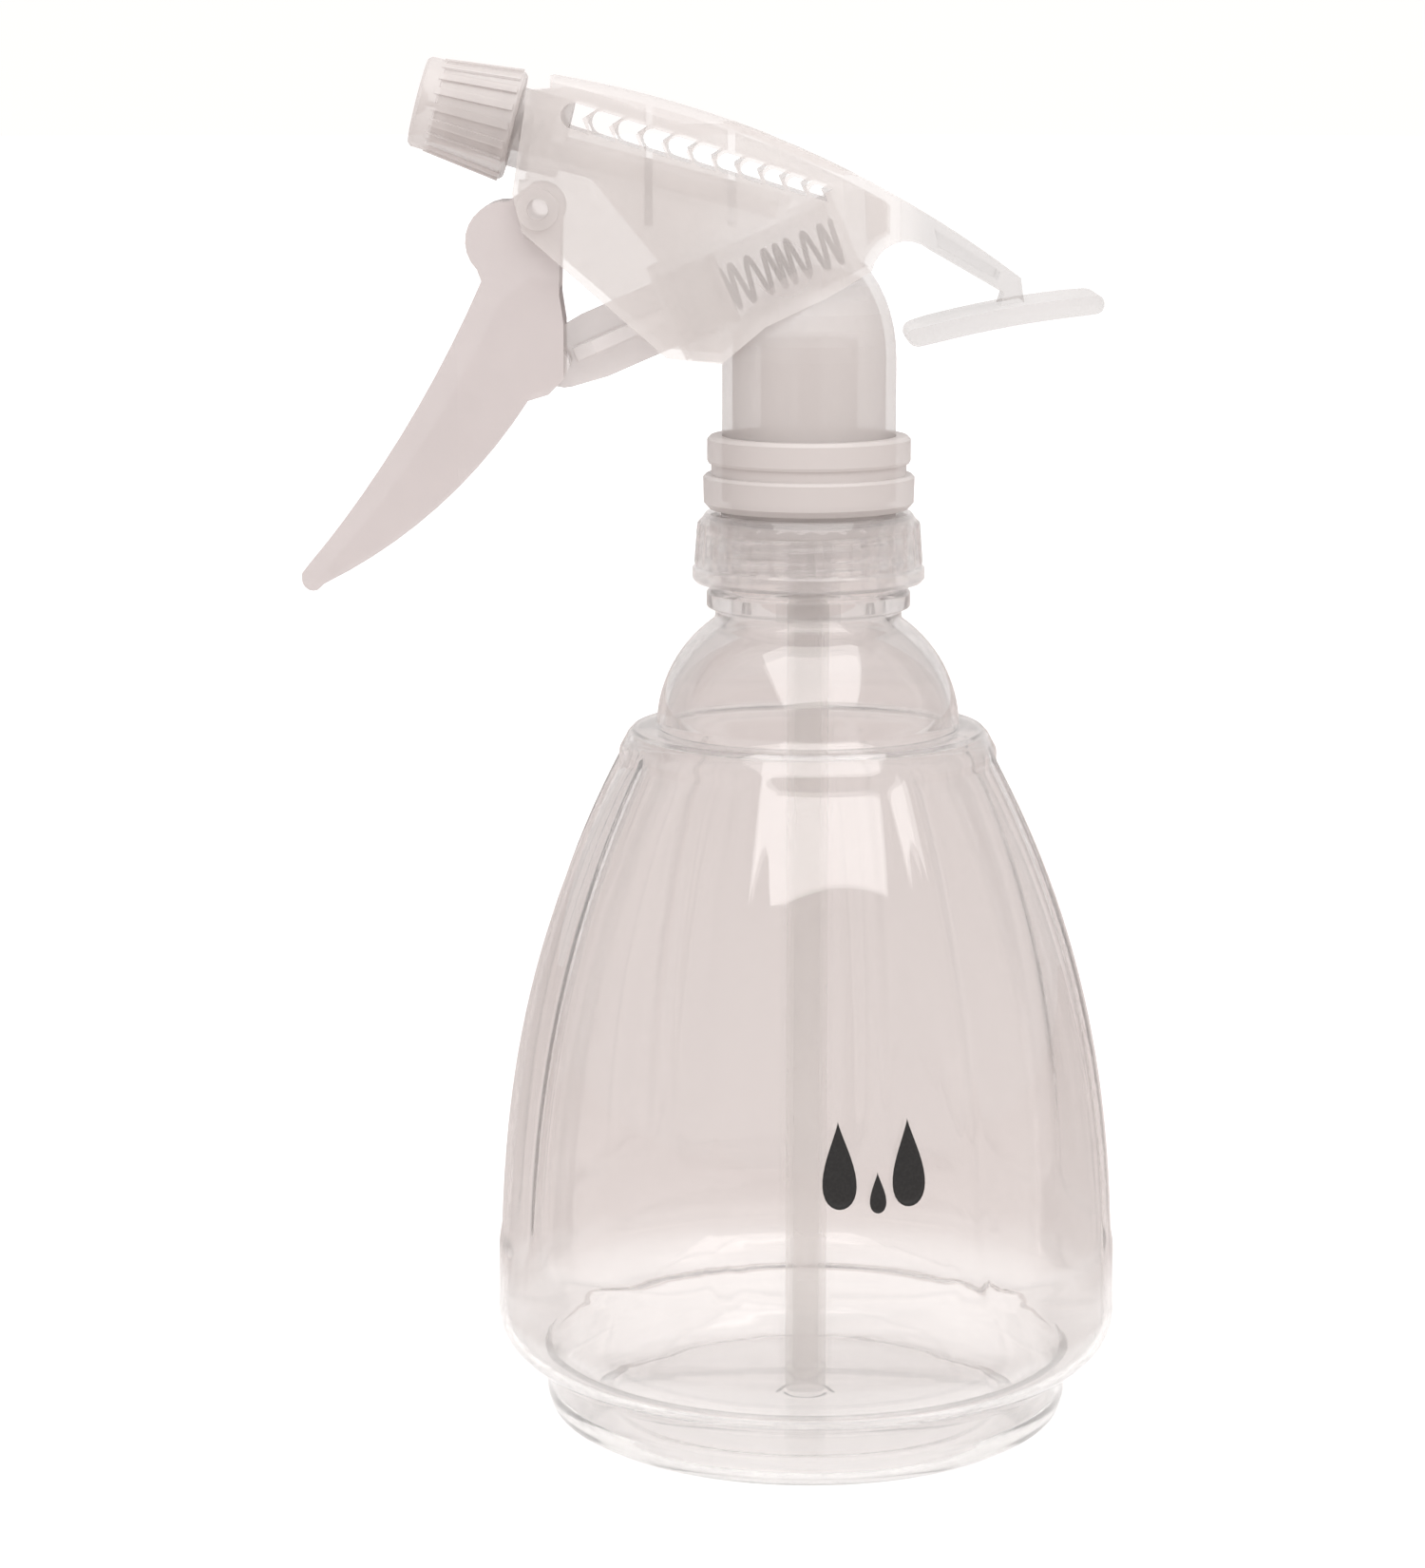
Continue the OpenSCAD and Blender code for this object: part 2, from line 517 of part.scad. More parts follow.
// one window: width b, height h, its rear notch n deep
module chevron(b, h, n) polygon(concat(
    arc_pts([(n - b) / 2, h / 2], [(n - b) / 2, -h / 2], -n, 8),
    [[(b + n) / 2, -h / 2], [(b - n) / 2, 0], [(b + n) / 2, h / 2]]));
band_bar = 0.95;                     // strip between two windows
function band_at(t) = t * (1.12 - 0.12 * t);
module window_row() for (i = [0 : windows - 1]) {
    t = i / (windows - 1);
    pitch = norm(band_b - band_a) * (band_at(t + 0.05) - band_at(t - 0.05)) / 0.1 / (windows - 1);
    h = 3.7 - 0.9 * t - 0.9 * t * t;
    translate(band_a + (band_b - band_a) * band_at(t)) rotate(-17) chevron(pitch - band_bar, h, 0.42 * h);
}

module shroud() color([0.92, 0.91, 0.89]) {
    difference() {
        union() {
            difference() {
                shell(0);
                shell(shroud_wall);
                // open below
                upright(shroud_w + over) polygon([[front_x + shroud_wall, pin_z + 28], [9.2, pin_z + 13.5],
                    [2, pin_z + 5], [-column_r, pin_z - 8], [-60, pin_z - 8], [-60, pin_z + 26.2],
                    [cap_x + 2.5, pin_z + 26.2]]);
            }
            cheeks();
            strut();
            duct_seats();
            // bosses around the pivot
            for (s = [-1, 1]) translate([pivot_x, s * (plan_half(pivot_x) + 0.1), pivot_z])
                rotate([90, 0, 0]) cylinder(h = 1.2, r = 3, center = true);
        }
        upright(shroud_w + over) window_row();
        on_nozzle(-barrel_back) cylinder(h = barrel_back + over, r = barrel_r + 0.1);
        column_form(0.15);
        translate([pivot_x, 0, pivot_z]) rotate([90, 0, 0]) cylinder(h = 40, r = pivot_r, center = true);
    }
}

// cross walls that seat the shroud on the outlet duct
seat_wall = 1.2;
module duct_seats() for (x = [-24, -12]) difference() {
    intersection() {
        shell(shroud_wall / 2);
        translate([x, -shroud_w, pin_z + 20]) cube([seat_wall, 2 * shroud_w, 40]);
    }
    on_nozzle(-duct_l - over, -duct_drop) {
        cylinder(h = duct_l, r = duct_r + seat);
        translate([-20, -duct_rib / 2 - seat, 0]) cube([20, duct_rib + 2 * seat, duct_l]);
    }
}

module cheeks() intersection() {
    upright(shroud_w + over) polygon(shell_side(0));
    difference() {
        linear_extrude(400) plan(0);
        translate([0, 0, -over]) linear_extrude(400) plan(shroud_wall);
    }
    translate([-60, -20, 0]) cube([70, 40, spine_z(-33) - 6]);
}

// strut and rear rest plate
module strut() {
    side = concat(
        [for (i = [0 : 8]) let (x = 8 + (30.6 - 8) * i / 8) [x, spine_z(x)]],
        [[31.2, pin_z + 8], [rest_x + 12, pin_z + 7.2], [28.2, pin_z + 10.2]],
        turn_pts(arch_c, arch_r, 50, 168, 8));
    difference() {
        upright(strut_w) polygon(side);
        for (s = [-1, 1]) translate([0, s * (strut_w + 1.2), 0])
            upright(2.4) polygon([[18, spine_z(18) - 1.5], [27.6, spine_z(27.6) - 1.3],
                [27.2, pin_z + 12.1], [18.6, pin_z + 16.8]]);
    }
    translate([rest_x, 0, rest_z]) rotate([0, -rest_tilt, 0]) rotate([90, 0, 0])
        translate([0, 0, -rest_w]) intersection() {
            linear_extrude(2 * rest_w) polygon(concat(
                arc_pts([0, rest_t / 2], [rest_l, rest_t / 2], 0.6, 10),
                arc_pts([rest_l, rest_t / 2], [rest_l, -rest_t / 2], rest_t / 2 - 0.01, 6),
                arc_pts([rest_l, -rest_t / 2], [0, -rest_t / 2], -0.6, 10),
                arc_pts([0, -rest_t / 2], [0, rest_t / 2], rest_t / 2 - 0.01, 6)));
            translate([0, 10, rest_w]) rotate([90, 0, 0]) linear_extrude(20) rest_plan();
        }
}
module rest_plan() polygon(concat(
    turn_pts([rest_l - 4, rest_w - 5.5], 5.5, 0, 90, 6), turn_pts([4, rest_w - 5.5], 5.5, 90, 180, 6),
    turn_pts([4, 5.5 - rest_w], 5.5, 180, 270, 6), turn_pts([rest_l - 4, 5.5 - rest_w], 5.5, 270, 360, 6)));

// ---- trigger ----
pivot_x = pin_x - 2.3;
pivot_z = pin_z + 22.5;
bulge = [pivot_x - 4.95, pivot_z - 4.7];
bulge_r = 5.7;
tip = [pivot_x - trigger_reach, pivot_z - trigger_drop];
tip_r = 1.7;

// side outline of the trigger, drawn d inside
function trigger_side(d) = concat(
    arc_pts(bulge + [-3.4, -5.7] + [d, 0], tip + [-tip_r + d * 0.9, tip_r * 0.5], 1.8, 10),
    turn_pts(tip, max(tip_r - d, 0.1), 180, 290, 5),
    arc_pts(tip + [tip_r, -0.6 + d * 0.8], [pin_x - 4, pin_z - 5.2 + d * 0.6], -2.7, 10),
    [[pin_x - 1, pin_z - 4.3 + d], [pin_x + 1.2 - d, pin_z - 2],
     [pin_x + 1.2 - d, pin_z + 6], [pin_x + 0.6 - d, pin_z + 10]],
    turn_pts([pivot_x, pivot_z], 3.6 - d, -30, 110, 8),
    turn_pts(bulge, bulge_r - d, 85, 225, 10));

module trigger_plan(d) polygon([
    [tip[0] - 3, trigger_w - 2.1 - d], [pivot_x - 12, trigger_w - d], [pivot_x + 6, trigger_w - d],
    [pivot_x + 6, d - trigger_w], [pivot_x - 12, d - trigger_w], [tip[0] - 3, 2.1 + d - trigger_w]]);

module pivot_pin() color("silver")
    translate([pivot_x, 0, pivot_z]) rotate([90, 0, 0])
        cylinder(h = 2 * plan_half(pivot_x) + 1, r = pivot_r - 0.01, center = true);

slot_r = pin_r + 0.25;
module trigger() color([0.93, 0.92, 0.9]) difference() {
    intersection() {
        upright(trigger_w) polygon(trigger_side(0));
        linear_extrude(400) trigger_plan(0);
    }
    // channel that is open to the rear
    intersection() {
        upright(trigger_w - trigger_wall) polygon(concat(
            arc_pts(bulge + [-1, -9], tip + [1.8, 1.4], 1.8, 10),
            [tip + [8, -8], [pin_x + 9, pin_z - 12], [pin_x + 9, pin_z + 9], [pin_x - 4, pin_z + 12]]));
        linear_extrude(400) trigger_plan(trigger_wall);
    }
    translate([pivot_x, 0, pivot_z]) rotate([90, 0, 0])
        cylinder(h = 40, r = pivot_r + run_fit, center = true);
    pin_slot();
}

// blind slot for the ends of the piston pin, along the line from the pin to the pivot
slot_from = -0.35;
slot_to = 1.4;
slot_turn = atan2(pivot_z - pin_z, pivot_x - pin_x);
module pin_slot() translate([pin_x, 0, pin_z]) rotate([0, -slot_turn, 0]) {
    half = trigger_w - slot_skin;
    for (k = [slot_from, slot_to]) translate([k, 0, 0]) rotate([90, 0, 0])
        cylinder(h = 2 * half, r = slot_r, center = true);
    translate([slot_from, -half, -slot_r]) cube([slot_to - slot_from, 2 * half, 2 * slot_r]);
}

bottle();
neck_gasket();
neck_adapter();
screw_collar();
tube_retainer();
dip_tube();
inlet_ball();
ball_cage();
pump_body();
piston_retainer();
piston_rod();
piston_cup();
return_spring();
shroud();
pivot_pin();
trigger();
outlet_valve();
outlet_spring();
swirl_insert();
nozzle_o_ring();
nozzle_cap();
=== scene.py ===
"""Clear fluted bottle with a trigger sprayer head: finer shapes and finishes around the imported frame."""
import math

import bpy
from bpy.props import FloatProperty, FloatVectorProperty, IntProperty, PointerProperty
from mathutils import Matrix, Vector


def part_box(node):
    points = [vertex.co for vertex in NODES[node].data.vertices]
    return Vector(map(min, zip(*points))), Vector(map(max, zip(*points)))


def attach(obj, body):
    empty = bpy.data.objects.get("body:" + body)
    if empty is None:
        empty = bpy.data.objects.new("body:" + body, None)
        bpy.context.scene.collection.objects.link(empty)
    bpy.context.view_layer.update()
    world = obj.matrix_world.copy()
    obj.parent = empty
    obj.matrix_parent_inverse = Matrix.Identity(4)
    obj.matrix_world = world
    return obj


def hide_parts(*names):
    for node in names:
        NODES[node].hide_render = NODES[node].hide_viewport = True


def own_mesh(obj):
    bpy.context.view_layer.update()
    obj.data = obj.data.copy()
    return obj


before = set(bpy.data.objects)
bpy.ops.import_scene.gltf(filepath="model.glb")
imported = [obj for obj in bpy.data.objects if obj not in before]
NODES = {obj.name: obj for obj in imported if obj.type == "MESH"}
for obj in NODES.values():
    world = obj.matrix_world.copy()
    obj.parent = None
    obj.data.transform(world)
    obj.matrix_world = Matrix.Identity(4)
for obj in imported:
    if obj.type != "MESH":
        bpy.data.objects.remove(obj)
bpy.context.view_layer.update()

bl_info = {
    "name": "Hand Mister",
    "version": (1, 0, 0),
    "blender": (4, 5, 0),
    "location": "View3D > Sidebar > Mister",
    "description": "Finer shapes and finishes of a clear hand mister",
    "category": "Add Mesh",
}

MM = 0.001
BOTTLE_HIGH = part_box("bottle")[1]
COLLAR_LOW, COLLAR_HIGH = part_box("screw_collar")
BELLY_R = BOTTLE_HIGH.x / MM
RIM_Z = BOTTLE_HIGH.z / MM
COLLAR_R = COLLAR_HIGH.x / MM
COLLAR_Z = COLLAR_LOW.z / MM
COLLAR_TOP = COLLAR_HIGH.z / MM


def millimetres(name, description, default):
    """A size in millimetres."""
    return FloatProperty(name=name, description=description, default=default, min=0)


def finish_colour(name, description, default):
    """A colour of one of the finishes."""
    return FloatVectorProperty(name=name, description=description, default=default, size=3, min=0, max=1,
                               subtype="COLOR")


class BottleSizes(bpy.types.PropertyGroup):
    belly_r: millimetres("Belly radius", "Largest outside radius", BELLY_R)
    shoulder_r: millimetres("Shoulder radius", "Outside radius under the shoulder lip", 26.9)
    shoulder_z: millimetres("Shoulder height", "Height of the shoulder lip", 105)
    wall: millimetres("Wall", "Wall of the blown bottle", 1.3)
    flute_depth: millimetres("Flute depth", "Depth of a flute panel under the lip", 1.05)
    flute_rib: millimetres("Flute rib", "Width of the rib between two panels", 0.9)
    thread_h: millimetres("Thread height", "Height of the neck thread", 0.85)
    thread_pitch: millimetres("Thread pitch", "Pitch of the neck thread", 3.2)
    flutes: IntProperty(name="Flutes", description="Number of flute panels", default=8, min=3)
    flute_turn: FloatProperty(name="Flute turn", description="Turn of the panels about the axis",
                              default=math.radians(7.1), unit="ROTATION")


class CollarSizes(bpy.types.PropertyGroup):
    ribs: IntProperty(name="Grip ribs", description="Number of grip ribs round the collar", default=30, min=3)
    rib_h: millimetres("Rib height", "Height of a grip rib", 0.45)
    thread_h: millimetres("Thread height", "Height of the inner thread", 0.55)


class Finishes(bpy.types.PropertyGroup):
    clear: finish_colour("Clear", "Tint of the clear bottle", (0.95, 0.935, 0.93))
    closure: finish_colour("Closure", "Tint of the clear collar", (0.95, 0.925, 0.92))
    milky: finish_colour("Milky", "Milky natural plastic of the shroud", (0.88, 0.85, 0.835))
    lever: finish_colour("Lever", "Plastic of the trigger", (0.765, 0.715, 0.71))
    pump: finish_colour("Pump", "Milky natural plastic of pump, adapter and nozzle", (0.81, 0.77, 0.755))
    tube: finish_colour("Tube", "Natural plastic of the dip tube", (0.93, 0.90, 0.88))
    steel: finish_colour("Steel", "Spring steel", (0.10, 0.095, 0.09))
    ink: finish_colour("Ink", "Printing ink", (0.008, 0.008, 0.008))
    rubber: finish_colour("Rubber", "Soft seals", (0.35, 0.34, 0.33))


class StageSizes(bpy.types.PropertyGroup):
    key_wide: FloatProperty(name="Softbox width", description="Width of the softbox", default=1.05,
                            unit="LENGTH")
    key_high: FloatProperty(name="Softbox height", description="Height of the softbox", default=0.98,
                            unit="LENGTH")
    key_power: FloatProperty(name="Softbox power", description="Power of the softbox", default=6.6,
                             unit="POWER")
    room: FloatProperty(name="Room light", description="Strength of the light from the room", default=0.74)
    lens: FloatProperty(name="Lens", description="Focal length of the camera", default=96.79, unit="CAMERA")


# ---------------------------------------------------------------- shader expressions
class Value:
    """A shader socket that Python expressions can work on."""

    def __init__(self, tree, socket):
        self.tree, self.socket = tree, socket

    def maths(self, operation, first, second):
        """One sum of two values or numbers."""
        return self.tree.add("ShaderNodeMath", {"operation": operation}, {0: first, 1: second})

    def __add__(self, other):
        return self.maths("ADD", self, other)

    def __sub__(self, other):
        return self.maths("SUBTRACT", self, other)

    def __rsub__(self, other):
        return self.maths("SUBTRACT", other, self)

    def __mul__(self, other):
        return self.maths("MULTIPLY", self, other)

    __radd__ = __add__
    __rmul__ = __mul__

    def between(self, low, high):
        """0 below low, 1 above high and smooth between them."""
        return self.tree.add("ShaderNodeMapRange", {"interpolation_type": "SMOOTHSTEP"},
                             {"Value": self, "From Min": low, "From Max": high})


class Tree:
    """The nodes of one finish."""

    def __init__(self, owner):
        owner.use_nodes = True
        self.nodes, self.links = owner.node_tree.nodes, owner.node_tree.links
        self.nodes.clear()

    def add(self, kind, settings=None, sockets=None, out=0):
        """One node: its type, its settings, the values or links of its sockets, and the output used."""
        node = self.nodes.new(kind)
        for name, value in (settings or {}).items():
            setattr(node, name, value)
        for name, value in (sockets or {}).items():
            if isinstance(value, Value):
                self.links.new(value.socket, node.inputs[name])
            else:
                node.inputs[name].default_value = value
        return Value(self, node.outputs[out]) if node.outputs else None

    def place(self):
        """Place in the piece's own frame."""
        return self.add("ShaderNodeTexCoord", out="Object")

    def across(self, axis):
        """Place along one axis."""
        return self.add("ShaderNodeSeparateXYZ", {}, {0: self.place()}, out=axis)

    def noise(self, scale, detail=3.0, rough=0.5, stretch=None):
        """Soft irregular pattern; stretch scales it along X, Y and Z."""
        spot = self.place()
        if stretch:
            spot = self.add("ShaderNodeMapping", {}, {"Vector": spot, "Scale": stretch})
        return self.add("ShaderNodeTexNoise", {}, {"Vector": spot, "Scale": scale, "Detail": detail,
                                                   "Roughness": rough})

    def mix(self, share, first, second):
        """First colour at a share of 0, second at 1."""
        return self.add("ShaderNodeMix", {"data_type": "RGBA"}, {"Factor": share, 6: first, 7: second}, out=2)

    def bump(self, height, strength, distance):
        """Fine relief of a surface."""
        return self.add("ShaderNodeBump", {}, {"Height": height, "Strength": strength, "Distance": distance})


def rgba(colour, scale=1.0):
    """A colour made lighter or darker, with full alpha."""
    return tuple(min(1.0, c * scale) for c in colour) + (1.0,)


def new_finish(name):
    """An empty finish and its nodes."""
    material = bpy.data.materials.new(name)
    return material, Tree(material)


def clear_plastic(name, colour, haze=0.0, body=1.0, clear=1.0, bend=1.27):
    """Clear blown or moulded plastic with soft ripples in its walls. body is the share that bends light,
    clear the share of it that isn't milky, and bend its refractive index."""
    material, tree = new_finish(name)
    waves = tree.noise(38.0, 2.0, 0.4, (1.0, 1.0, 0.35))
    specks = tree.noise(420.0, 2.0)
    tint = tree.mix(waves.between(0.3, 0.7), rgba(colour), rgba(colour, 0.97))
    polish, ripple, ripple_h = 0.02, 0.05, 0.0012
    surface = tree.add("ShaderNodeBsdfPrincipled", {}, {
        "Base Color": tint, "Roughness": specks.between(0.45, 0.75) * 0.03 + (polish + haze), "IOR": bend,
        "Coat Weight": 1.0, "Coat IOR": 1.6, "Coat Roughness": 0.02,
        "Transmission Weight": clear, "Alpha": body, "Normal": tree.bump(waves, ripple, ripple_h)})
    tree.add("ShaderNodeOutputMaterial", {}, {"Surface": surface})
    return material


def milky_plastic(name, colour, body, rough=0.36, thin=None, painted_shade_or_rod=None):
    """Natural moulded plastic: milky, see-through as far as body leaves, with a fine moulded skin. thin is
    the middle of a thinner stretch of wall, its radius and the body left there. The last argument is the two
    places along X between which the colour darkens towards +X: painted shade on the back of the moulding."""
    material, tree = new_finish(name)
    clouds = tree.noise(55.0, 3.0, 0.55)
    skin = tree.noise(1600.0, 2.0, 0.6)
    flow = tree.noise(90.0, 2.0, 0.5, (0.25, 1.0, 1.0))
    tint = tree.mix(clouds.between(0.3, 0.72), rgba(colour), rgba(colour, 0.955))
    # Painted shade: past these places along +X the colour darkens to two thirds.
    if painted_shade_or_rod:
        tint = tree.mix(tree.across("X").between(*painted_shade_or_rod), tint, rgba(colour, 0.66))
    if thin:
        middle, reach, left = thin
        away = tree.add("ShaderNodeVectorMath", {"operation": "DISTANCE"}, {0: tree.place(), 1: middle},
                        out="Value")
        body = away.between(reach * 0.75, reach * 1.5) * (body - left) + left
    surface = tree.add("ShaderNodeBsdfPrincipled", {}, {
        "Base Color": tint, "Roughness": flow.between(0.3, 0.7) * 0.08 + rough, "IOR": 1.49, "Alpha": body,
        "Normal": tree.bump(skin * 0.6 + flow * 0.4, 0.12, 0.00015)})
    tree.add("ShaderNodeOutputMaterial", {}, {"Surface": surface})
    return material


def drawn_steel(name, colour):
    """Bright wire with fine drawing marks."""
    material, tree = new_finish(name)
    draw = tree.noise(900.0, 2.0, 0.5)
    tint = tree.mix(draw.between(0.35, 0.7), rgba(colour), rgba(colour, 0.7))
    surface = tree.add("ShaderNodeBsdfPrincipled", {}, {
        "Base Color": tint, "Metallic": 1.0, "Roughness": draw.between(0.2, 0.8) * 0.2 + 0.22,
        "Normal": tree.bump(draw, 0.1, 0.0001)})
    tree.add("ShaderNodeOutputMaterial", {}, {"Surface": surface})
    return material


def soft_seal(name, colour):
    """Matt rubber with a fine grain."""
    material, tree = new_finish(name)
    grain = tree.noise(1100.0, 3.0, 0.6)
    tint = tree.mix(grain.between(0.3, 0.7), rgba(colour), rgba(colour, 0.85))
    surface = tree.add("ShaderNodeBsdfPrincipled", {}, {
        "Base Color": tint, "Roughness": grain * 0.1 + 0.55, "Normal": tree.bump(grain, 0.2, 0.0001)})
    tree.add("ShaderNodeOutputMaterial", {}, {"Surface": surface})
    return material


def printed_ink(name, colour):
    """Screen printing ink, slightly grainy."""
    material, tree = new_finish(name)
    grain = tree.noise(2500.0, 3.0, 0.6)
    tint = tree.mix(grain.between(0.35, 0.75), rgba(colour), rgba(colour, 2.2))
    surface = tree.add("ShaderNodeBsdfPrincipled", {}, {
        "Base Color": tint, "Roughness": grain * 0.12 + 0.34, "Normal": tree.bump(grain, 0.08, 0.00005)})
    tree.add("ShaderNodeOutputMaterial", {}, {"Surface": surface})
    return material


# ---------------------------------------------------------------- mesh tools
def mesh_piece(name, points, faces, material, body):
    """A new piece from points in millimetres, riding on a body."""
    mesh = bpy.data.meshes.new(name)
    mesh.from_pydata([(x * MM, y * MM, z * MM) for x, y, z in points], [], faces)
    mesh.validate()
    mesh.update()
    mesh.polygons.foreach_set("use_smooth", [True] * len(mesh.polygons))
    mesh.materials.append(material)
    piece = bpy.data.objects.new(name, mesh)
    bpy.context.scene.collection.objects.link(piece)
    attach(piece, body)
    return piece


def rounded(path, steps=4):
    """A side outline from (radius, height, fillet) corners."""
    line = []
    for i, (r, z, fillet) in enumerate(path):
        if not fillet or i in (0, len(path) - 1):
            line.append((r, z))
            continue
        corner = Vector((r, z))
        back, on = Vector(path[i - 1][:2]) - corner, Vector(path[i + 1][:2]) - corner
        half = back.angle(on) / 2
        cut = min(fillet / math.tan(half), back.length * 0.48, on.length * 0.48)
        radius = cut * math.tan(half)
        start, end = corner + back.normalized() * cut, corner + on.normalized() * cut
        centre = corner + (back.normalized() + on.normalized()).normalized() * (radius / math.sin(half))
        for k in range(steps + 1):
            mid = start.lerp(end, k / steps) - centre
            line.append(tuple(centre + mid.normalized() * radius))
    return line


def inset(line, depth):
    """The same side outline, moved inwards by a wall."""
    moved = []
    for i, spot in enumerate(line):
        way = (Vector(line[min(i + 1, len(line) - 1)]) - Vector(line[max(i - 1, 0)])).normalized()
        moved.append((spot[0] - way.y * depth, spot[1] + way.x * depth))
    return moved


def turned(line, columns, shape):
    """Points and faces of a closed surface turned from a side outline. shape gives the radius of an outline's
    point at a column's angle; an outline's end on the axis becomes one point."""
    points, faces, rows = [], [], []
    for k, (r, z) in enumerate(line):
        if r < 1e-6:
            rows.append([len(points)])
            points.append((0, 0, z))
            continue
        rows.append(list(range(len(points), len(points) + len(columns))))
        for c in range(len(columns)):
            radius, angle = shape(k, r, z, c)
            points.append((radius * math.cos(angle), radius * math.sin(angle), z))
    count = len(columns)
    for low, high in zip(rows, rows[1:] + ([] if len(rows[0]) == 1 else rows[:1])):
        for c in range(count):
            n = (c + 1) % count
            if len(low) == 1:
                faces.append((low[0], high[n], high[c]))
            elif len(high) == 1:
                faces.append((low[c], low[n], high[0]))
            else:
                faces.append((low[c], low[n], high[n], high[c]))
    return points, faces


def smoothstep(low, high, value):
    """0 below low, 1 above high and a soft turn between them."""
    t = min(1.0, max(0.0, (value - low) / (high - low)))
    return t * t * (3 - 2 * t)


def ridge(angle, z, start, end, pitch, half):
    """Height from 0 to 1 of a helical thread, with a foot half wide and ends that run out."""
    turn = angle / (2 * math.pi) % 1.0
    first = start + turn * pitch
    best = 0.0
    while first < end:
        run = smoothstep(start, start + pitch * 0.3, first) * smoothstep(end, end - pitch * 0.3, first)
        best = max(best, run * (1 - smoothstep(half * 0.35, half, abs(z - first))))
        first += pitch
    return best


def swept(path, radius, sides=8):
    """Points and faces of a round wire along a line of points."""
    points, faces = [], []
    count = len(path)
    for i, spot in enumerate(path):
        ahead = (path[min(i + 1, count - 1)] - path[max(i - 1, 0)]).normalized()
        side = ahead.cross(Vector((0, 1, 0.02))).normalized()
        up = side.cross(ahead)
        for k in range(sides):
            a = 2 * math.pi * k / sides
            points.append(tuple(spot + side * (radius * math.cos(a)) + up * (radius * math.sin(a))))
    for i in range(count - 1):
        for k in range(sides):
            n = (k + 1) % sides
            faces.append((i * sides + k, i * sides + n, (i + 1) * sides + n, (i + 1) * sides + k))
    faces.append(tuple(range(sides - 1, -1, -1)))
    faces.append(tuple(range((count - 1) * sides, count * sides)))
    return points, faces


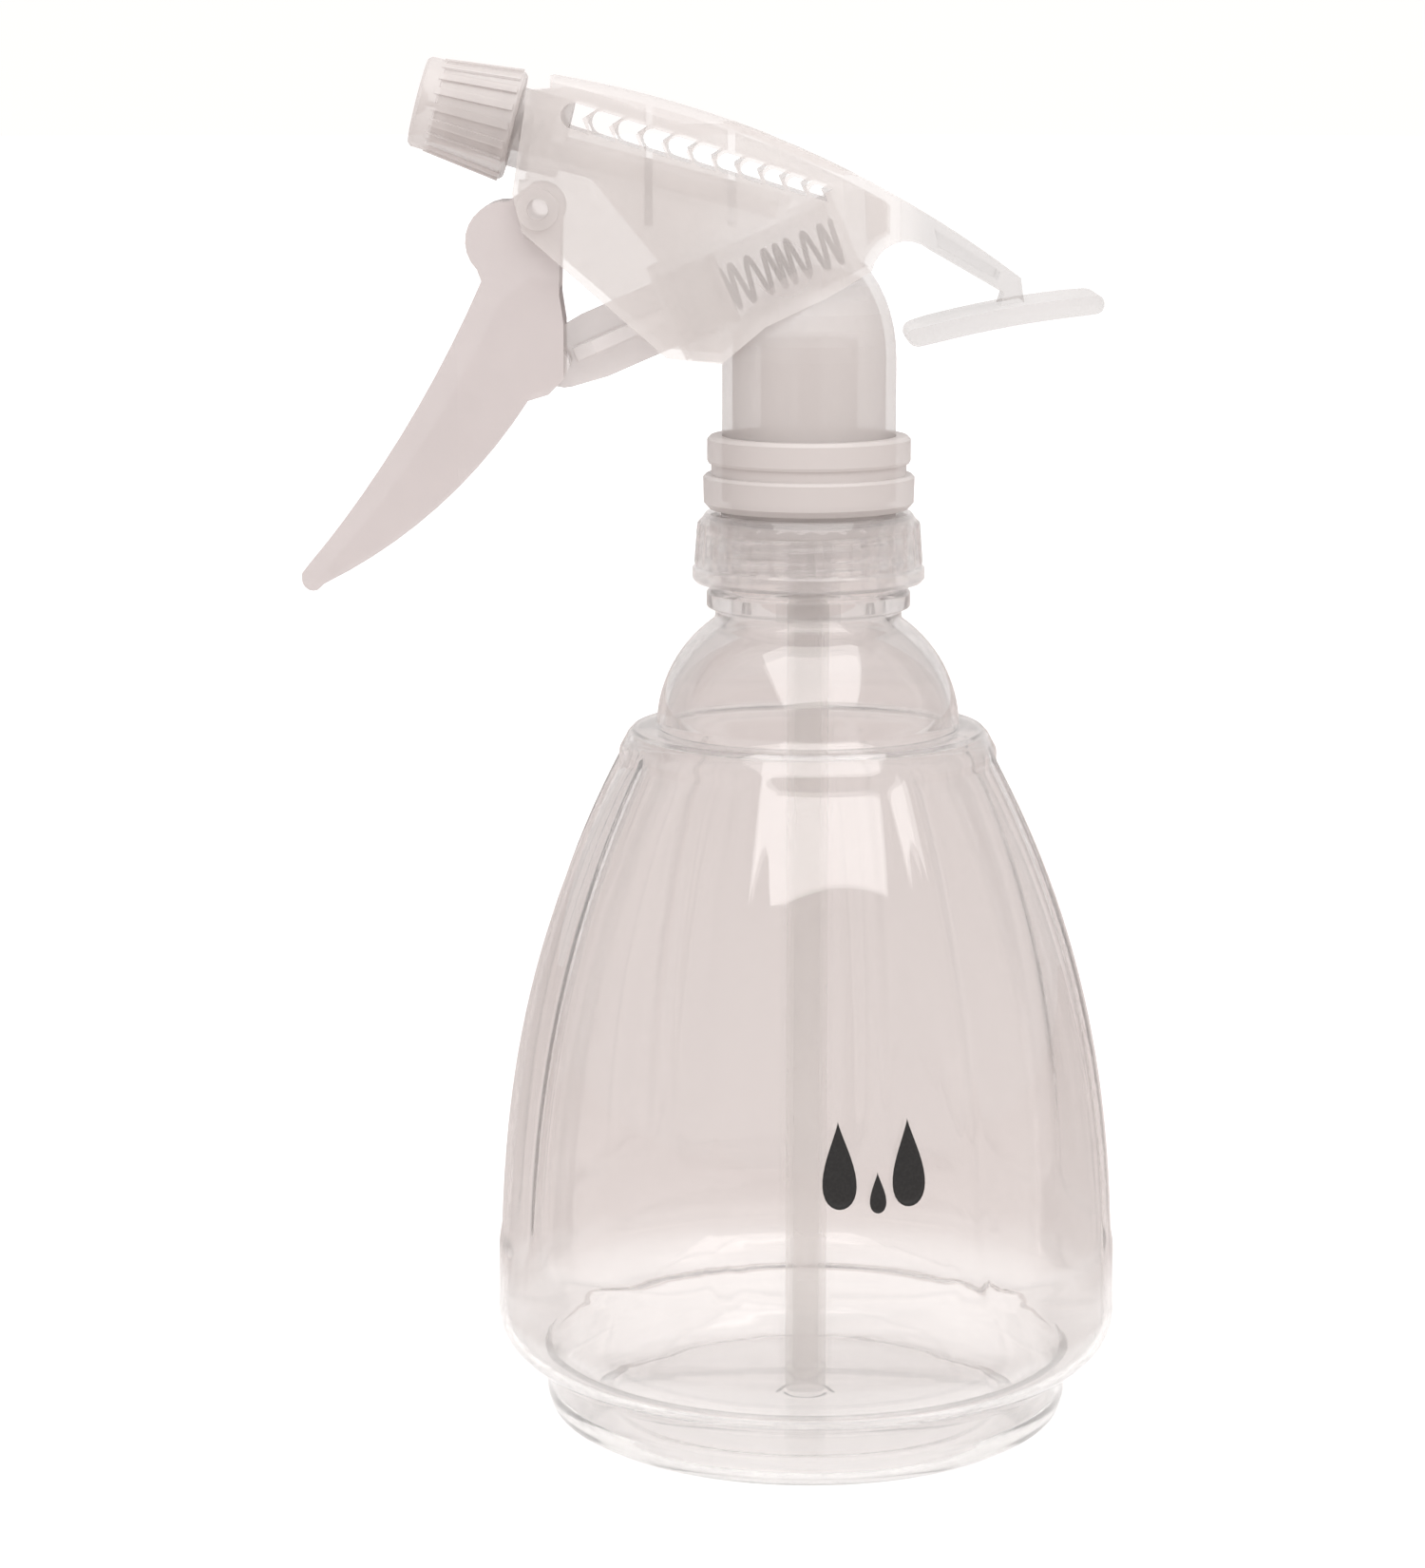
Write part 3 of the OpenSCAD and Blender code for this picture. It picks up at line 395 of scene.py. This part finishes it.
# ---------------------------------------------------------------- the bottle's shape
class BottleShape:
    """Where the bottle's outer and inner faces are."""
    BELLY_Z = 20.0                        # height of the widest point
    BELL_N = 2.45                         # fullness of the bell curve
    FLUTE_FOOT, FLUTE_TOP_GAP = 27.0, 1.8     # start of the panels and their gap to the lip
    CORNER_LOW, CORNER_HIGH = 7.0, 1.5    # corners of a panel
    CREST = 3.0                           # slope beside a rib that gets finer columns
    NECK_R, BORE_R = 13.0, 11.4
    LEDGE = 4.4                           # shoulder inside the lip, up to the dome
    DOME_H, DOME_TURN = 16.1, math.radians(54)
    BEAD_R, BEAD_H = 15.1, 2.9
    FOOT_TOP = (42.4, 10.7)               # where the groove over the foot ends

    def __init__(self, sizes):
        self.s = sizes
        self.flute_top = sizes.shoulder_z - self.FLUTE_TOP_GAP
        self.section = 2 * math.pi / sizes.flutes
        self.dome_z = sizes.shoulder_z + 1.2
        self.neck_z = self.dome_z + self.DOME_H

    def bell(self, z):
        """Radius of the body at a height, without flutes."""
        share = max(0.0, (z - self.BELLY_Z) / (self.s.shoulder_z - self.BELLY_Z))
        return self.s.belly_r - (self.s.belly_r - self.s.shoulder_r) * share ** self.BELL_N

    def sunk(self, r, z, local):
        """Depth of a flute panel at a height, at an angle from the panel's middle."""
        if not self.FLUTE_FOOT < z < self.flute_top:
            return 0.0
        half = r * math.sin(self.section / 2) - self.s.flute_rib / 2
        across = abs(r * math.sin(local))
        middle = (self.FLUTE_FOOT + self.flute_top) / 2
        corner = self.CORNER_LOW if z < middle else self.CORNER_HIGH
        along = self.FLUTE_FOOT + corner - z if z < middle else z - self.flute_top + corner
        dx, dz = across - half + corner, along
        outside = math.hypot(max(dx, 0), max(dz, 0)) + min(max(dx, dz), 0) - corner
        share = (z - self.FLUTE_FOOT) / (self.flute_top - self.FLUTE_FOOT)
        edge = 2.6 + 0.8 * (1 - share) ** 2
        return self.s.flute_depth * (0.35 + 0.65 * share) * smoothstep(0, edge, -outside)

    def columns(self):
        """Shares from -1 to 1 across half a section on each side of a panel's middle, as (kind, share)."""
        half = [("rib", 0), ("rib", 0.5)] + [("edge", k / 6) for k in range(7)]
        half += [("panel", k / 5) for k in range(1, 5)]
        return [(-1, kind, share) for kind, share in half] + [(0, "middle", 0)] + [
            (1, kind, share) for kind, share in reversed(half[1:])]

    def local(self, column, r):
        """Angle from the panel's middle of a column at radius r."""
        side, kind, share = column
        end = self.section / 2
        rib = min(end * 0.3, self.s.flute_rib / 2 / r)
        edge = min(end * 0.5, self.CREST / r)
        if kind == "rib":
            at = end - rib * share
        elif kind == "edge":
            at = end - rib - edge * share
        elif kind == "panel":
            at = (end - rib - edge) * (1 - share)
        else:
            at = 0
        return side * at

    def dome(self, drop):
        """The dome over the shoulder, drop inside its outer face."""
        wide, foot, rise = self.s.shoulder_r - self.LEDGE, self.NECK_R + 0.9, self.DOME_H
        level, steps = math.cos(self.DOME_TURN), 14
        line = []
        for i in range(steps + 1):
            t = self.DOME_TURN * i / steps
            line.append((foot - drop + (wide - foot) * (math.cos(t) - level) / (1 - level),
                         self.dome_z + (rise - drop) * math.sin(t) / math.sin(self.DOME_TURN)))
        return line

    def belly_foot(self):
        """Round turn from the groove over the foot up to the belly."""
        start, end, bulge = Vector(self.FOOT_TOP), Vector((self.s.belly_r, self.BELLY_Z - 0.3)), 1.75
        outwards = Vector((1.0, -0.45)).normalized()
        line = []
        for i in range(10):
            t = i / 9.5
            line.append(tuple(start.lerp(end, t) + outwards * (bulge * 4 * t * (1 - t))))
        return line

    def outer(self):
        """The outer faces from the base's middle up over the rim, as one outline for each stretch."""
        s = self.s
        neck_r, dome_z, neck_z = self.NECK_R, self.dome_z, self.neck_z
        bead_z, bead_top = neck_z + 1.5, neck_z + 1.5 + self.BEAD_H
        base = rounded([(0, 1.3, 0), (2.8, 1.3, 0.3), (3.4, 1.5, 0.3), (4.0, 1.5, 0.3), (4.6, 1.3, 0.3),
                        (29.6, 1.3, 2), (32.6, 0, 1.4), (35.4, 0, 3), (38.7, 1.9, 3), (39.5, 4.8, 3),
                        (39.5, 8.6, 0.5), (40.1, 10.3, 0.7), self.FOOT_TOP + (0,)], 3)
        low = self.belly_foot()[1:]
        heights = [self.BELLY_Z + 7 * i / 4 for i in range(4)]
        heights += [27 + 8.5 * i / 9 for i in range(9)] + [35.5 + 60 * i / 20 for i in range(20)]
        heights += [95.5 + 5.5 * i / 4 for i in range(4)] + [101 + 0.4 * i for i in range(7)]
        heights += [self.flute_top + 0.25, self.flute_top + 0.9]
        bell = [(self.bell(z), z) for z in heights]
        lip = rounded([bell[-1] + (0,), (s.shoulder_r - 0.02, s.shoulder_z + 0.1, 0.5),
                       (s.shoulder_r - 0.9, s.shoulder_z + 1.05, 0.5), (s.shoulder_r - 2, dome_z, 0.4),
                       (s.shoulder_r - 4.2, dome_z + 0.02, 0)], 3)[1:]
        neck = rounded([(neck_r + 0.9, neck_z, 0), (neck_r + 0.75, bead_z, 0.5),
                        (self.BEAD_R, bead_z + 0.3, 0.35), (self.BEAD_R, bead_top - 0.4, 0.35),
                        (self.BEAD_R - 0.5, bead_top, 0.3), (neck_r, bead_top, 0.3)], 3)[1:]
        top, rows = neck[-1][1], 26
        thread = [(neck_r, top + (RIM_Z - 0.6 - top) * i / rows) for i in range(1, rows + 1)]
        rim = rounded([thread[-1] + (0,), (neck_r, RIM_Z, 0.4), (self.BORE_R, RIM_Z, 0.4),
                       (self.BORE_R, RIM_Z - 1.2, 0)], 3)[1:]
        return base, low, bell, lip + self.dome(0), neck, thread, rim

    def inner(self):
        """The inner faces, from the neck down to the base's middle."""
        s = self.s
        w = s.wall
        low = inset(self.belly_foot(), w)
        floor = rounded([(0, 1.3 + w, 0), (29, 1.3 + w, 3), (33.2, w + 0.2, 2), (36.2, w + 0.6, 3),
                         (38.2, 5.2, 3), (38.2, 9.4, 0.6), (38.8, 11.7, 0.8), low[0] + (0,)], 3)[:-1]
        heights = [21.5 + 5.5 * i / 4 for i in range(4)] + [27 + 70 * i / 28 for i in range(28)]
        heights += [97 + 6.6 * i / 8 for i in range(9)]
        bell = [(self.bell(z) - w, z) for z in heights]
        shoulder = rounded([bell[-1] + (0,), (s.shoulder_r - 1.5, s.shoulder_z - 0.2, 0.8),
                            (s.shoulder_r - 3.6, self.dome_z - 0.9, 0.8),
                            (s.shoulder_r - 5.1, self.dome_z - 0.3, 0.5), self.dome(w)[1] + (0,)], 3)[1:]
        bore = [(self.BORE_R, self.neck_z + 0.8), (self.BORE_R, self.neck_z + 5)]
        return (floor + low + bell + shoulder + self.dome(w)[2:] + bore)[::-1]


def build_bottle(sizes, material):
    """The blown bottle: its outer faces up to the rim, then its inner faces back down."""
    shape = BottleShape(sizes)
    parts = shape.outer()
    line = [spot for part in parts for spot in part]
    bell_from = len(parts[0]) + len(parts[1])
    bell_to = bell_from + len(parts[2])
    thread_from = len(line) - len(parts[6]) - len(parts[5])
    thread_to = thread_from + len(parts[5])
    outer_rows = len(line)
    line += shape.inner()
    columns = [(i, column) for i in range(sizes.flutes) for column in shape.columns()]
    top = parts[5][0][1]

    def place(k, r, z, c):
        i, column = columns[c]
        local = shape.local(column, max(r, 4.0))
        angle = -math.pi / 2 + sizes.flute_turn + i * shape.section + local
        if bell_from <= k < bell_to:
            r -= shape.sunk(r, z, local)
        elif k >= outer_rows and shape.FLUTE_FOOT < z < shape.flute_top:
            r -= 0.8 * shape.sunk(r + sizes.wall, z, local)
        elif thread_from <= k < thread_to:
            r += sizes.thread_h * ridge(angle, z, top + 0.6, RIM_Z - 1.0, sizes.thread_pitch, 0.95)
        return r, angle

    points, faces = turned(line, columns, place)
    piece = mesh_piece("bottle_shell", points, faces, material, "bottle")
    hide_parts("bottle")
    return piece


def build_collar(sizes, bottle, material):
    """Clear screw collar: ribbed outside, threaded inside."""
    foot, wall_r, hole_r, inside_r, roof = 2.4, COLLAR_R - 0.7, 13.15, 14.7, 1.2
    outline = rounded([
        (COLLAR_R - 0.5, COLLAR_Z, 0.3), (COLLAR_R, COLLAR_Z + 0.6, 0.3),
        (COLLAR_R, COLLAR_Z + foot - 0.3, 0.25), (COLLAR_R - 0.3, COLLAR_Z + foot, 0.2),
        (wall_r, COLLAR_Z + foot + 0.05, 0.2), (wall_r - 0.5, COLLAR_TOP - 1.2, 1.0),
        (wall_r - 1.3, COLLAR_TOP, 0.4), (hole_r, COLLAR_TOP, 0.2), (hole_r, COLLAR_TOP - roof, 0.2),
        (inside_r, COLLAR_TOP - roof, 0.2), (inside_r, COLLAR_Z, 0.3), (COLLAR_R - 0.9, COLLAR_Z, 0)], 3)
    line = []
    for a, b in zip(outline, outline[1:] + outline[:1]):
        upright = math.dist(a, b) > 2 and abs(a[1] - b[1]) > 2
        steps = max(1, round(math.dist(a, b) / 0.32)) if upright else 1
        line += [(a[0] + (b[0] - a[0]) * i / steps, a[1] + (b[1] - a[1]) * i / steps) for i in range(steps)]
    rib_columns = 8
    count = sizes.ribs * rib_columns
    low, high = COLLAR_Z + foot - 0.1, COLLAR_TOP - 1.0

    def place(k, r, z, c):
        angle = 2 * math.pi * c / count
        share = abs(c % rib_columns - rib_columns / 2) / (rib_columns / 2)
        if r > wall_r - 1.0 and low < z < high:
            swell = smoothstep(low, low + 0.5, z) * smoothstep(high, high - 0.6, z)
            r += sizes.rib_h * smoothstep(0.35, 0.8, share) * swell
        if r < inside_r + 0.05 and z < COLLAR_TOP - 1.5:
            start, end = COLLAR_Z + 1.2, COLLAR_TOP - 2.6
            r -= sizes.thread_h * ridge(angle, z, start, end, bottle.thread_pitch, 0.9)
        return r, angle

    points, faces = turned(line, range(count), place)
    piece = mesh_piece("collar_shell", points, faces, material, "collar")
    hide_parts("screw_collar")
    return piece


def build_mark(sizes, material):
    """Three printed water drops, as a thin skin on the panel in front."""
    shape = BottleShape(sizes)
    middle, mark_z = math.radians(-90 + 11.3), 50.0
    panel = -math.pi / 2 + sizes.flute_turn
    # each drop's place across and up from the mark's middle, and its half width and half height
    drops = [(-5.2, 0.4, 2.75, 6.2), (0.35, -3.6, 1.35, 2.9), (5.0, 0.4, 2.75, 6.2)]
    under, over = 0.015, 0.075
    points, faces = [], []
    steps, rings = 36, 5
    for across, up, wide, tall in drops:
        for lift in (under, over):
            base = len(points)
            for ring in range(rings + 1):
                for k in range(steps if ring else 1):
                    t = 2 * math.pi * k / steps
                    taper = math.sin(t) * (math.sin(t / 2) ** 1.6)
                    u = across + wide * 1.3 * taper * ring / rings
                    v = up + tall * math.cos(t) * ring / rings
                    z = mark_z + v
                    r = shape.bell(z)
                    angle = middle + u / r
                    r += lift - shape.sunk(r, z, angle - panel)
                    points.append((r * math.cos(angle), r * math.sin(angle), z))
            for ring in range(rings):
                for k in range(steps):
                    n = (k + 1) % steps
                    inner = base + 1 + (ring - 1) * steps
                    outer = base + 1 + ring * steps
                    face = (inner + k, inner + n, outer + n, outer + k) if ring else (
                        base, outer + n, outer + k)
                    faces.append(face if lift == under else face[::-1])
        low, high = len(points) - steps, len(points) - steps - (1 + rings * steps)
        for k in range(steps):
            n = (k + 1) % steps
            faces.append((high + k, high + n, low + n, low + k))
    return mesh_piece("drop_mark", points, faces, material, "bottle")


def build_spring(name, node, body, material, start, along, length, coil_r, wire_r, turns):
    """A round wire coil with closed ends, along the node's own axis."""
    side = along.cross(Vector((0, 1, 0))).normalized()
    up = side.cross(along).normalized()
    path, ring = [], 22
    steps = int(ring * turns)
    for i in range(steps + 1):
        t = i / steps
        rise = wire_r + (length - 2 * wire_r) * (t - 0.05 * math.sin(4 * math.pi * t) / 2)
        a = 2 * math.pi * turns * t
        path.append(start + along * rise + side * (coil_r * math.cos(a)) + up * (coil_r * math.sin(a)))
    points, faces = swept(path, wire_r)
    piece = mesh_piece(name, points, faces, material, body)
    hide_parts(node)
    return piece


def finish_node(node, material, edge=0.0, angle=32):
    """Gives a CAD node its finish and soft edges."""
    piece = NODES[node]
    piece.data.materials.clear()
    piece.data.materials.append(material)
    piece.data.polygons.foreach_set("use_smooth", [True] * len(piece.data.polygons))
    if edge:
        soft = piece.modifiers.new("soft edges", "BEVEL")
        soft.width, soft.segments = edge * MM, 2
        soft.limit_method, soft.angle_limit = "ANGLE", math.radians(angle)
        soft.harden_normals = True
    return piece


# ---------------------------------------------------------------- operators
class MISTER_OT_stage(bpy.types.Operator):
    """Floor, room light, softbox and camera"""
    bl_idname = "mister.stage"
    bl_label = "Stage"

    def execute(self, context):
        sizes = context.scene.mister_stage
        scene = context.scene
        scene.view_settings.view_transform = "Standard"
        scene.cycles.max_bounces = 20
        scene.cycles.transmission_bounces = 20
        scene.cycles.transparent_max_bounces = 20

        mesh = bpy.data.meshes.new("floor")
        reach, under, steps = 9.0, -0.00005, 48
        turns = [2 * math.pi * k / steps for k in range(steps)]
        ring = [(reach * math.cos(turn), reach * math.sin(turn), under) for turn in turns]
        mesh.from_pydata(ring, [], [tuple(range(steps))])
        floor = bpy.data.objects.new("floor", mesh)
        scene.collection.objects.link(floor)
        material, tree = new_finish("floor_white")
        # Painted light: the floor glows, brightest in a pool under and round the bottle, which fills the
        # shade there, and darker and pinker further out, standing in for a backdrop; camera rays see it plain
        # white, so no shadow shows on it.
        away = tree.add("ShaderNodeVectorMath", {"operation": "LENGTH"}, {0: tree.place()}, out="Value")
        glow = tree.mix(away.between(0.075, 0.12), (0.87, 0.855, 0.845, 1), (0.49, 0.435, 0.42, 1))
        seen = tree.add("ShaderNodeLightPath", out="Is Camera Ray")
        glow = tree.mix(seen, glow, (1, 1, 1, 1))
        surface = tree.add("ShaderNodeBsdfPrincipled", {}, {
            "Base Color": (0.30, 0.29, 0.285, 1), "Roughness": 0.9, "Specular IOR Level": 0.0,
            "Emission Color": glow, "Emission Strength": 1.03})
        tree.add("ShaderNodeOutputMaterial", {}, {"Surface": surface})
        mesh.materials.append(material)

        world = bpy.data.worlds.new("room")
        scene.world = world
        tree = Tree(world)
        seen = tree.add("ShaderNodeLightPath", out="Is Camera Ray")
        spot = tree.add("ShaderNodeTexCoord", out="Generated")
        behind = tree.add("ShaderNodeSeparateXYZ", {}, {0: spot}, out="Y")
        height = tree.add("ShaderNodeSeparateXYZ", {}, {0: spot}, out="Z")
        level = behind.between(-0.6, 0.7) * 0.12 + 0.98 - height.between(0.35, 0.95) * 0.2
        strength = level * (1 - seen) * sizes.room + seen * 1.05
        surface = tree.add("ShaderNodeBackground", {}, {"Color": (1.0, 0.955, 0.94, 1), "Strength": strength})
        tree.add("ShaderNodeOutputWorld", {}, {"Surface": surface})

        lamp = bpy.data.lights.new("key_softbox", "AREA")
        lamp.shape, lamp.size, lamp.size_y = "RECTANGLE", sizes.key_wide, sizes.key_high
        lamp.energy, lamp.color = sizes.key_power, (1.0, 0.985, 0.975)
        softbox = bpy.data.objects.new("key_softbox", lamp)
        aim, away = Vector((0, -0.03, 0.10)), 0.9
        azimuth, elevation = math.radians(10), math.radians(62)
        toward = Vector((math.sin(azimuth) * math.cos(elevation), -math.cos(azimuth) * math.cos(elevation),
                         math.sin(elevation)))
        softbox.location = aim + toward * away
        softbox.rotation_mode = "QUATERNION"
        softbox.rotation_quaternion = toward.to_track_quat("Z", "Y")
        scene.collection.objects.link(softbox)

        camera = bpy.data.cameras.new("camera")
        camera.lens, camera.sensor_width = sizes.lens, 36
        camera.clip_start, camera.clip_end = 0.01, 50
        eye, looks_down = bpy.data.objects.new("camera", camera), 9.985
        eye.location = (-0.0142, -0.620, 0.2064)
        eye.rotation_euler = (math.radians(90 - looks_down), 0, 0)
        scene.collection.objects.link(eye)
        scene.camera = eye
        return {"FINISHED"}


class MISTER_OT_bottle(bpy.types.Operator):
    """Blown bottle with flutes, foot ring and neck thread"""
    bl_idname = "mister.bottle"
    bl_label = "Bottle"

    def execute(self, context):
        finish = clear_plastic("clear_bottle", context.scene.mister_finishes.clear, body=0.9)
        build_bottle(context.scene.mister_bottle, finish)
        return {"FINISHED"}


class MISTER_OT_collar(bpy.types.Operator):
    """Clear screw collar with grip ribs and thread"""
    bl_idname = "mister.collar"
    bl_label = "Collar"

    def execute(self, context):
        scene = context.scene
        finish = clear_plastic("clear_closure", scene.mister_finishes.closure, haze=0.02, body=0.66,
                               clear=0.8, bend=1.42)
        build_collar(scene.mister_collar, scene.mister_bottle, finish)
        return {"FINISHED"}


class MISTER_OT_mark(bpy.types.Operator):
    """Printed drops on the front panel"""
    bl_idname = "mister.mark"
    bl_label = "Printed mark"

    def execute(self, context):
        build_mark(context.scene.mister_bottle, printed_ink("black_ink", context.scene.mister_finishes.ink))
        return {"FINISHED"}


class MISTER_OT_springs(bpy.types.Operator):
    """Return spring and outlet spring"""
    bl_idname = "mister.springs"
    bl_label = "Springs"

    def execute(self, context):
        steel = drawn_steel("spring_wire", context.scene.mister_finishes.steel)
        low, high = (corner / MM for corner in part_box("return_spring"))
        tilt, length = math.radians(23.5), 18.6
        along = Vector((math.cos(tilt), 0, math.sin(tilt)))
        start, end = (low + high) / 2 - along * length / 2, (low + high) / 2 + along * length / 2
        spring = build_spring("pump_spring", "return_spring", "head", steel, start, along, length,
                              coil_r=3.1, wire_r=0.4, turns=8)
        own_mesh(spring)
        low, high = (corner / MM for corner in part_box("outlet_spring"))
        tilt, length = math.radians(14.75), 7.85
        along = Vector((-math.cos(tilt), 0, math.sin(tilt)))
        start, end = (low + high) / 2 - along * length / 2, (low + high) / 2 + along * length / 2
        spring = build_spring("valve_spring", "outlet_spring", "head", steel, start, along, length,
                              coil_r=1.9, wire_r=0.25, turns=5)
        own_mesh(spring)
        finish_node("inlet_ball", drawn_steel("ball_steel", (0.6, 0.59, 0.58)))
        return {"FINISHED"}


class MISTER_OT_head(bpy.types.Operator):
    """Milky head: shroud, pump body, adapter and nozzle"""
    bl_idname = "mister.head"
    bl_label = "Head"

    def execute(self, context):
        colours = context.scene.mister_finishes
        low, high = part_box("return_spring")
        spring = tuple((low + high) / 2)
        # Past X 11 to 18 mm the back of the shroud gets painted shade in its colour.
        milky = milky_plastic("milky_head", colours.milky, 0.38, thin=(spring, 0.011, 0.18),
                              painted_shade_or_rod=(0.011, 0.018))
        finish_node("shroud", milky, 0.25)
        pump = milky_plastic("milky_pump", colours.pump, 0.46, thin=(spring, 0.012, 0.2))
        finish_node("pump_body", pump, 0.2)
        finish_node("neck_adapter", milky_plastic("milky_adapter", colours.pump, 0.72), 0.2)
        finish_node("nozzle_cap", milky_plastic("milky_nozzle", colours.pump, 0.56, rough=0.3), 0.15)
        return {"FINISHED"}


class MISTER_OT_trigger(bpy.types.Operator):
    """Trigger and piston"""
    bl_idname = "mister.trigger"
    bl_label = "Trigger"

    def execute(self, context):
        colours = context.scene.mister_finishes
        finish_node("trigger", milky_plastic("milky_lever", colours.lever, 0.82), 0.3)
        white = milky_plastic("natural_inner", (0.86, 0.83, 0.82), 0.5)
        for node in ("piston_retainer", "outlet_valve", "swirl_insert", "ball_cage"):
            finish_node(node, white, 0.1)
        painted_shade_or_rod = milky_plastic("milky_rod", (0.9, 0.86, 0.85), 0.6)
        for node in ("piston_rod", "pivot_pin"):
            finish_node(node, painted_shade_or_rod, 0.1)
        finish_node("tube_retainer", milky_plastic("natural_retainer", (0.95, 0.93, 0.92), 0.14), 0.1)
        finish_node("piston_cup", milky_plastic("cup_plastic", colours.tube, 0.8), 0.08)
        return {"FINISHED"}


class MISTER_OT_tube(bpy.types.Operator):
    """Dip tube and seals"""
    bl_idname = "mister.tube"
    bl_label = "Dip tube and seals"

    def execute(self, context):
        colours = context.scene.mister_finishes
        finish_node("dip_tube", milky_plastic("natural_tube", colours.tube, 0.27, rough=0.22), 0.1)
        finish_node("neck_gasket", milky_plastic("gasket_foam", (0.9, 0.88, 0.86), 0.95, rough=0.6), 0.05)
        finish_node("nozzle_o_ring", soft_seal("seal_rubber", colours.rubber))
        return {"FINISHED"}


class MISTER_PT_panel(bpy.types.Panel):
    """A button for every group of pieces"""
    bl_idname = "MISTER_PT_panel"
    bl_label = "Hand mister"
    bl_space_type = "VIEW_3D"
    bl_region_type = "UI"
    bl_category = "Mister"

    def draw(self, context):
        for operator in OPERATORS:
            self.layout.operator(operator.bl_idname)


GROUPS = {"mister_bottle": BottleSizes, "mister_collar": CollarSizes, "mister_finishes": Finishes,
          "mister_stage": StageSizes}
OPERATORS = (MISTER_OT_stage, MISTER_OT_bottle, MISTER_OT_collar, MISTER_OT_mark, MISTER_OT_springs,
             MISTER_OT_head, MISTER_OT_trigger, MISTER_OT_tube)


def register():
    for item in (*GROUPS.values(), *OPERATORS, MISTER_PT_panel):
        bpy.utils.register_class(item)
    for name, group in GROUPS.items():
        setattr(bpy.types.Scene, name, PointerProperty(type=group))


def unregister():
    for name in GROUPS:
        delattr(bpy.types.Scene, name)
    for item in (MISTER_PT_panel, *reversed(OPERATORS), *reversed(GROUPS.values())):
        bpy.utils.unregister_class(item)


def main():
    register()
    for operator in OPERATORS:
        family, name = operator.bl_idname.split(".")
        getattr(getattr(bpy.ops, family), name)()


if __name__ == "__main__":
    main()
